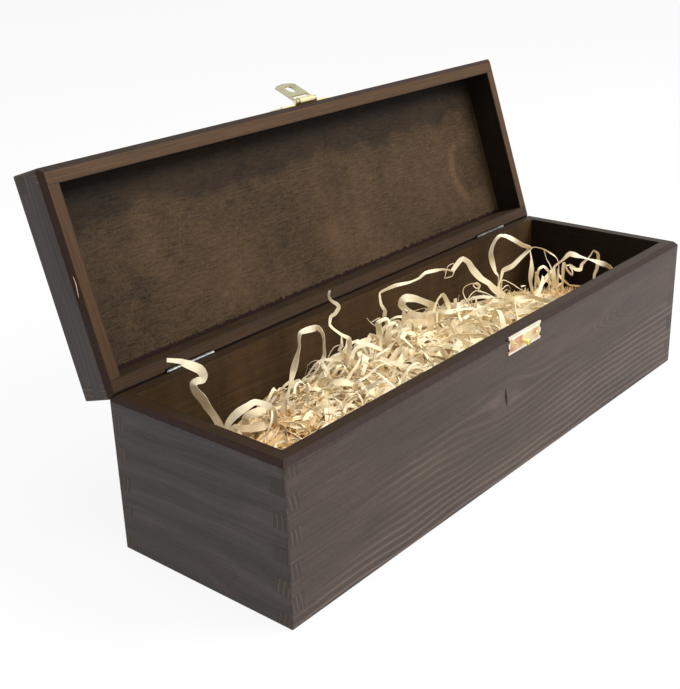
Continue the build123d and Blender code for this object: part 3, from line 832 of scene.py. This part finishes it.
def packed_core(wool, height):
    """The closed mass under the ribbons, lumpy like the shavings it stands for, coloured dark as the painted
    shade deep between them.
    """
    mesh = bmesh.new()
    across, down = 130, 36
    half_x, half_y = INNER_X - 1.0, INNER_Y - 1.0
    rng = random.Random(wool.seed)
    waves = [(rng.uniform(0.15, 0.9), rng.uniform(0.15, 0.9), rng.uniform(0, 6.3)) for _ in range(9)]
    top, low = [], []
    for j in range(down + 1):
        y = -half_y + 2 * half_y * j / down
        top.append([])
        low.append([])
        for i in range(across + 1):
            x = -half_x + 2 * half_x * i / across
            lump = sum(math.sin(x * a + y * b + c) for a, b, c in waves) * 0.45
            z = height(x, y) + min(wool.depth / MM * -0.75, crest(x, 0) - 4.5) + lump
            top[j].append(mesh.verts.new((x * MM, y * MM, z * MM)))
            low[j].append(mesh.verts.new((x * MM, y * MM, 4.0 * MM)))
    for j in range(down):
        for i in range(across):
            mesh.faces.new((top[j][i], top[j][i + 1], top[j + 1][i + 1], top[j + 1][i]))
            mesh.faces.new((low[j][i], low[j + 1][i], low[j + 1][i + 1], low[j][i + 1]))
    for j in range(down):
        mesh.faces.new((top[j][0], top[j + 1][0], low[j + 1][0], low[j][0]))
        mesh.faces.new((top[j][-1], low[j][-1], low[j + 1][-1], top[j + 1][-1]))
    for i in range(across):
        mesh.faces.new((top[0][i], low[0][i], low[0][i + 1], top[0][i + 1]))
        mesh.faces.new((top[-1][i], top[-1][i + 1], low[-1][i + 1], low[-1][i]))
    bmesh.ops.recalc_face_normals(mesh, faces=mesh.faces)
    data = bpy.data.meshes.new("wool_shade_core")
    mesh.to_mesh(data)
    mesh.free()
    data.shade_smooth()
    piece = bpy.data.objects.new("wool_shade_core", data)
    bpy.context.scene.collection.objects.link(piece)

    def build(g):
        place = g.node("ShaderNodeTexCoord", None, None, "Object")
        wisps = g.noise(place, 260.0, 4.0, 0.65, 2.5)
        # painted shade: dark brown depth, darker still in patches between the wisps
        gap_shade = g.noise(place, 120.0, 3.0, 0.6, 1.5)
        shade = g.blend(tone("5a3410"), tone("c08a44"), wisps.above(0.35, 0.6))
        return {"Base Color": g.dim(shade, gap_shade.above(0.3, 0.6) * 0.6 + 0.4), "Roughness": 0.8,
                "height": wisps, "strength": 0.9, "reach": MM}
    data.materials.append(surface("wool_shade_core", build))
    return piece


class BOTTLEBOX_OT_wool_bed(bpy.types.Operator):
    """Pack the bed of wood wool with curled ribbons"""
    bl_idname = "bottle_box.wool_bed"
    bl_label = "Pack Wood Wool"

    def execute(self, context):
        wool = context.scene.box_wool
        height = bed_heights()
        core = packed_core(wool, height)
        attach(core, "base")
        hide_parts("wood_wool")
        finish = wool_finish("wool_bed", wool)
        tree = ribbon_tree()
        parts = 4
        for part in range(parts):
            rng = random.Random(wool.seed + part)
            reach = 2 * (INNER_X - 3) / parts
            start = -INNER_X + 3 + part * reach
            strands = [wander(rng, height, (start, start + reach), wool.depth / MM,
                              wool.loft / MM, wool.width / MM) for _ in range(wool.strands)]
            piece = strand_lines(f"wool_bed_{part + 1}", strands, height, wool.depth / MM)
            grown(piece, tree, {"Thickness Share": 0.07, "Material": finish})
            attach(piece, "base")
            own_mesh(piece)
        return {"FINISHED"}


# name, width in mm, warmth, end or ends that sit in the bed, corners in mm
LOOSE = [
    ("left_ribbon", 5.0, 0.0, "end", [(-159, 36, 95), (-156, 35, 94), (-153, 33, 93), (-152, 33, 92),
     (-149, 31, 90), (-145, 30, 87), (-144, 29, 84), (-145, 29, 82), (-147, 30, 82),
     (-149, 31, 81), (-148, 31, 77), (-145, 30, 72), (-143, 29, 67), (-141, 28, 63),
     (-139, 27, 58), (-138, 26, 51)]),
    ("tall_arch", 3.6, 0.5, "start", [(-112, 12, 51), (-111, 12, 55), (-110, 11, 61), (-108, 10, 67),
     (-107, 9, 72), (-105, 9, 77), (-103, 8, 84), (-102, 7, 89), (-102, 7, 92), (-101, 7, 96),
     (-97, 5, 97), (-93, 3, 97), (-91, 2, 94), (-90, 2, 91), (-90, 2, 86), (-90, 2, 82),
     (-92, 2, 79)]),
    ("spiral", 2.8, 0.3, "end", [(-66, 18, 105), (-67, 18, 103), (-66, 18, 100), (-63, 16, 97),
     (-62, 16, 95), (-64, 17, 92), (-66, 18, 91), (-67, 18, 87), (-65, 17, 84), (-61, 15, 80),
     (-57, 14, 77), (-57, 14, 72), (-59, 14, 67), (-58, 14, 62)]),
    ("leaning", 4.2, 0.55, "both", [(-60, 14, 69), (-66, 17, 66), (-72, 19, 62), (-74, 20, 60),
     (-75, 21, 56), (-73, 20, 51)]),
    ("line_rise", 2.6, 0.0, "start", [(-16, 22, 70), (-18, 22, 75), (-17, 22, 78), (-19, 23, 82),
     (-20, 23, 86), (-20, 23, 89), (-16, 22, 90), (-10, 20, 91), (-2, 17, 91), (4, 15, 92),
     (9, 14, 94), (17, 11, 94), (22, 10, 93), (27, 8, 91)]),
    ("line_fall", 4.6, 0.1, "end", [(26, 8.5, 91), (28, 8, 93), (31, 7, 96), (33, 6, 97), (37, 5, 94),
     (40, 4, 89), (45, 2, 83), (50, 0, 79), (55, -1, 74), (65, -5, 66), (74, -7, 60),
     (83, -10, 52)]),
    ("big_arch", 3.8, 0.1, "both", [(78, 11, 72), (76, 12, 76), (74, 13, 82), (72, 13, 88),
     (73, 13, 92), (75, 12, 96), (78, 11, 98), (82, 9, 97), (87, 7, 94), (92, 4, 90),
     (97, 2, 87), (92, 4, 83), (86, 7, 78), (81, 10, 76), (79, 10, 72), (78, 11, 66)]),
    ("arch_leg", 3.6, 0.25, "end", [(102, 5, 85), (104, 5, 79), (105, 5, 71), (104, 5, 64),
     (105, 4, 58), (106, 4, 52)]),
    ("thin_leg", 1.2, 0.2, "end", [(97, 4, 87), (103, 10, 86), (115, 14, 80), (120, 12, 80),
     (125, 9, 78), (131, 7, 74), (134, 5, 71), (136, 4, 66)]),
    ("right_wide", 3.6, 0.3, "both", [(113, -8, 59), (111, -7, 66), (111, -7, 73), (116, -10, 77),
     (120, -12, 80), (125, -15, 78), (131, -19, 75), (137, -22, 72), (141, -25, 70),
     (145, -27, 67), (148, -29, 62)]),
    ("right_hook", 2.6, 0.1, "start", [(157, -10, 52), (157, -10, 56), (158, -11, 60), (159, -11, 66),
     (158, -11, 70), (156, -9, 72), (154, -8, 69), (152, -7, 67), (149, -5, 64), (148, -5, 61),
     (144, -3, 62), (141, -1, 65), (138, 1, 65)]),
    ("fold_upper", 5.0, 0.45, "both", [(9, 8, 71), (3, 11, 71), (-2, 13, 73), (-6, 15, 76),
     (-9, 17, 80), (-9, 16, 83), (-7, 15, 84), (-1, 13, 82), (7, 9, 77), (9, 8, 73),
     (9, 8, 67)]),
    ("fold_lower", 4.6, 0.7, "both", [(-11, 13, 78), (-10, 12, 74), (-7, 11, 71), (-2, 9, 69),
     (2, 7, 69), (4, 6, 73)]),
    ("fold_orange", 4.8, 1.1, "end", [(-2, 3, 76), (-1, 3, 72), (-2, 3, 68), (-3, 4, 64)]),
    ("peak", 3.0, 0.2, "both", [(5, 6, 72), (6, 6, 76), (8, 5, 81), (11, 4, 83), (13, 3, 79),
     (14, 2, 75), (14, 2, 70)]),
    ("peak_b", 4.4, 0.6, "both", [(12, 8, 72), (13, 8, 67), (17, 6, 64), (20, 5, 62)]),
    ("peak_c", 2.6, 0.3, "end", [(20, 4, 74), (21, 4, 70), (22, 4, 65), (21, 4, 60)]),
    ("bridge", 3.0, 0.2, "both", [(6, 4, 74), (12, 1, 73), (19, -2, 73), (26, -5, 72), (32, -8, 69),
     (37, -10, 65)]),
    ("thin_curl", 1.1, 0.2, "both", [(42, 8, 68), (40, 9, 71), (39, 10, 75), (39, 9, 78), (42, 8, 79),
     (45, 7, 79), (47, 6, 78), (48, 5, 76), (46, 6, 76), (45, 7, 78), (47, 6, 79), (49, 5, 77),
     (47, 5, 74), (50, 4, 73), (55, 2, 70), (59, 0, 66)]),
    ("small_loop", 1.3, 0.2, "both", [(36, 2, 70), (36, 2, 72), (37, 2, 74), (39, 1, 73), (39, 1, 70),
     (39, 1, 67)]),
    ("crest_a", 3.8, 0.2, "both", [(-53, 13, 72), (-50, 12, 73), (-46, 10, 74), (-45, 10, 76),
     (-43, 9, 75), (-41, 8, 73), (-42, 8, 68), (-42, 8, 64)]),
    ("crest_b", 4.2, 0.5, "both", [(-40, 8, 77), (-41, 8, 82), (-39, 7, 83), (-36, 6, 83),
     (-34, 5, 79), (-35, 6, 75)]),
    ("crest_c", 3.4, 0.2, "both", [(-19, 4, 68), (-20, 4, 72), (-19, 4, 76), (-17, 3, 72),
     (-18, 4, 68), (-17, 3, 63), (-15, 2, 56)]),
    ("stub_a", 2.2, 0.3, "both", [(106, 0, 61), (105, 1, 66), (105, 0, 72), (109, -1, 73),
     (112, -3, 69), (113, -3, 65)]),
    ("stub_b", 2.0, 0.3, "both", [(107, 3, 69), (109, 2, 63), (112, 1, 57), (114, 0, 50)]),
    ("curl_a", 2.0, 0.2, "both", [(128, 0, 66), (129, 0, 62), (132, -2, 58), (136, -4, 54),
     (139, -6, 53), (142, -8, 52)]),
    ("curl_b", 2.2, 0.3, "start", [(124, -6, 72), (127, -7, 67), (130, -9, 63), (130, -9, 66),
     (128, -8, 70), (131, -10, 68), (133, -11, 66)]),
    ("thin_b", 1.2, 0.3, "end", [(112, 1, 82), (114, 0, 76), (117, -1, 71), (119, -2, 65)]),
    ("left_fold_a", 4.4, 0.75, "both", [(-140, 20, 58), (-138, 19, 62), (-135, 17, 65), (-131, 15, 67),
     (-127, 14, 68), (-123, 12, 66), (-120, 10, 63), (-119, 10, 58), (-118, 9, 53)]),
    ("left_fold_b", 5.0, 0.9, "both", [(-128, 20, 58), (-125, 18, 60), (-120, 16, 60), (-114, 13, 57),
     (-115, 14, 53), (-116, 14, 48)]),
    ("left_fold_c", 4.8, 0.8, "both", [(-136, 20, 56), (-132, 18, 55), (-127, 16, 54), (-121, 13, 54),
     (-119, 12, 57)]),
    ("left_link", 1.8, 0.3, "both", [(-112, 8, 66), (-108, 6, 67), (-105, 5, 65), (-102, 4, 65),
     (-100, 3, 68), (-102, 3, 71)]),
    ("spiral_loop", 1.8, 0.3, "none", [(-63, 14, 81), (-63, 14, 75), (-64, 15, 73), (-62, 14, 71),
     (-61, 13, 74), (-60, 13, 78)]),
]
HAIRS = [
    ("wire", 0.7, 0.3, "both", [(80, 10, 70), (86, 7, 67), (91, 5, 63), (95, 3, 60), (98, 2, 57),
     (101, 0, 54)]),
    ("hair_a", 0.6, 0.2, "none", [(22, 10, 93), (24, 12, 92), (25, 12, 89), (24, 12, 87), (27, 9, 88),
     (28, 8, 92)]),
    ("hair_b", 0.5, 0.2, "none", [(25, 12, 89), (27, 12, 93), (31, 11, 94), (30, 10, 91)]),
    ("hair_c", 0.5, 0.3, "end", [(-45, 12, 85), (-43, 11, 82), (-41, 10, 80), (-38, 8, 77)]),
    ("hair_d", 0.5, 0.3, "end", [(-43, 11, 82), (-40, 10, 83), (-37, 9, 82)]),
]


class BOTTLEBOX_OT_loose_wool(bpy.types.Operator):
    """Lay the long loose shavings and the hairs that stand out of the bed"""
    bl_idname = "bottle_box.loose_wool"
    bl_label = "Lay Loose Shavings"

    def execute(self, context):
        wool = context.scene.box_wool
        height = bed_heights()
        tree = ribbon_tree()
        rng = random.Random(wool.seed + 50)
        groups = (("wool_loose", LOOSE, 0.07, 1.05), ("wool_hairs", HAIRS, 0.6, 1.2))
        for name, plan, thickness, roll in groups:
            strands = [laid(corners, width * 0.78, warmth, rooted, height, rng,
                            roll * (0.3 if width > 4.3 else 1.0))
                       for _, width, warmth, rooted, corners in plan]
            piece = strand_lines(name, strands, height, 40.0)
            finish = wool_finish(name, wool, -0.1)
            grown(piece, tree, {"Thickness Share": thickness, "Material": finish})
            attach(piece, "base")
            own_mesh(piece)
        return {"FINISHED"}


# ---- stage -----------------------------------------------------------------------------------

class BOTTLEBOX_OT_stage(bpy.types.Operator):
    """Set the floor, the lamps and the camera"""
    bl_idname = "bottle_box.stage"
    bl_label = "Set Stage"

    def execute(self, context):
        scene = context.scene
        stage = scene.box_stage
        scene.view_settings.view_transform = "Standard"
        if stage.show_floor:
            self.floor(scene, stage)
        self.surroundings(scene, stage)
        self.lamps(scene, stage)
        self.camera(scene)
        return {"FINISHED"}

    def floor(self, scene, stage):
        half = 9.0
        data = bpy.data.meshes.new("floor")
        data.from_pydata([(-half, -half, -0.0004), (half, -half, -0.0004), (half, half, -0.0004),
                          (-half, half, -0.0004)], [], [(0, 1, 2, 3)])
        piece = bpy.data.objects.new("floor", data)
        scene.collection.objects.link(piece)
        material = bpy.data.materials.new("floor")
        material.use_nodes = True
        g = Graph(material.node_tree)
        seen = g.node("ShaderNodeLightPath", None, None, "Is Camera Ray")
        seen = seen.most(g.also(seen, "Is Glossy Ray")).most(g.also(seen, "Is Transmission Ray"))
        matt = g.node("ShaderNodeBsdfDiffuse", None, {"Color": tuple(stage.floor)})
        glow = g.node("ShaderNodeEmission", None, {"Strength": 1.0})
        both = g.node("ShaderNodeMixShader", None, {0: seen * 0.9, 1: matt, 2: glow})
        g.node("ShaderNodeOutputMaterial", None, {"Surface": both}, None)
        data.materials.append(material)

    def surroundings(self, scene, stage):
        world = bpy.data.worlds.new("studio")
        scene.world = world
        world.use_nodes = True
        g = Graph(world.node_tree)
        seen = g.node("ShaderNodeLightPath", None, None, "Is Camera Ray")
        seen = seen.most(g.also(seen, "Is Glossy Ray")).most(g.also(seen, "Is Transmission Ray"))
        sky = g.node("ShaderNodeBackground", None,
                     {"Color": (1.0, 1.0, 1.0),
                      "Strength": stage.fill + seen * (1.0 - stage.fill)})
        g.node("ShaderNodeOutputWorld", None, {"Surface": sky}, None)

    def lamps(self, scene, stage):
        aim = Vector((0, 0, 0.07))
        for name, place, size, power in (("key", (0.85, -1.25, 1.35), 0.8, stage.key),
                                         ("top", (-0.1, -0.3, 2.0), 1.0, stage.key * 0.5)):
            lamp = bpy.data.lights.new(name, "AREA")
            lamp.energy, lamp.size = power, size
            body = bpy.data.objects.new(name, lamp)
            body.location = place
            body.rotation_euler = (aim - Vector(place)).to_track_quat("-Z", "Y").to_euler()
            scene.collection.objects.link(body)

    def camera(self, scene):
        azimuth, elevation, roll = (math.radians(a) for a in (-49.19198, 22.27430, -1.95344))
        back = Vector((math.sin(azimuth) * math.cos(elevation),
                       -math.cos(azimuth) * math.cos(elevation), math.sin(elevation)))
        right = (-back).cross(Vector((0, 0, 1))).normalized()
        up = right.cross(-back)
        across = math.cos(roll) * right + math.sin(roll) * up
        upward = -math.sin(roll) * right + math.cos(roll) * up
        data = bpy.data.cameras.new("camera")
        data.sensor_width = 36.0
        long_side, focal_pixels = 689, 1142.520
        data.lens = focal_pixels * data.sensor_width / long_side
        data.clip_start, data.clip_end = 0.01, 100.0
        body = bpy.data.objects.new("camera", data)
        turn = Matrix((across, upward, back)).transposed().to_4x4()
        body.matrix_world = Matrix.Translation((-0.468330, -0.334813, 0.294930)) @ turn
        scene.collection.objects.link(body)
        scene.camera = body


# ---- panel and registration ------------------------------------------------------------------

STEPS = (BOTTLEBOX_OT_boards, BOTTLEBOX_OT_panels, BOTTLEBOX_OT_splinters, BOTTLEBOX_OT_hinges,
         BOTTLEBOX_OT_latch, BOTTLEBOX_OT_wool_bed, BOTTLEBOX_OT_loose_wool, BOTTLEBOX_OT_stage)
SETTINGS = {"box_wood": WoodSettings, "box_metal": MetalSettings, "box_wool": WoolSettings,
            "box_stage": StageSettings}


class BOTTLEBOX_PT_panel(bpy.types.Panel):
    """Lists the settings and the steps of the bottle box"""
    bl_label = "Bottle Box"
    bl_idname = "BOTTLEBOX_PT_panel"
    bl_space_type = "VIEW_3D"
    bl_region_type = "UI"
    bl_category = "Bottle Box"

    def draw(self, context):
        for name, group in SETTINGS.items():
            column = self.layout.column(align=True)
            for prop in group.__annotations__:
                column.prop(getattr(context.scene, name), prop)
        for step in STEPS:
            self.layout.operator(step.bl_idname)


def register():
    for cls in (*SETTINGS.values(), *STEPS, BOTTLEBOX_PT_panel):
        bpy.utils.register_class(cls)
    for name, group in SETTINGS.items():
        setattr(bpy.types.Scene, name, PointerProperty(type=group))


def unregister():
    for name in SETTINGS:
        delattr(bpy.types.Scene, name)
    for cls in reversed((*SETTINGS.values(), *STEPS, BOTTLEBOX_PT_panel)):
        bpy.utils.unregister_class(cls)


def main():
    register()
    for step in STEPS:
        group, name = step.bl_idname.split(".")
        getattr(getattr(bpy.ops, group), name)()


if __name__ == "__main__":
    main()
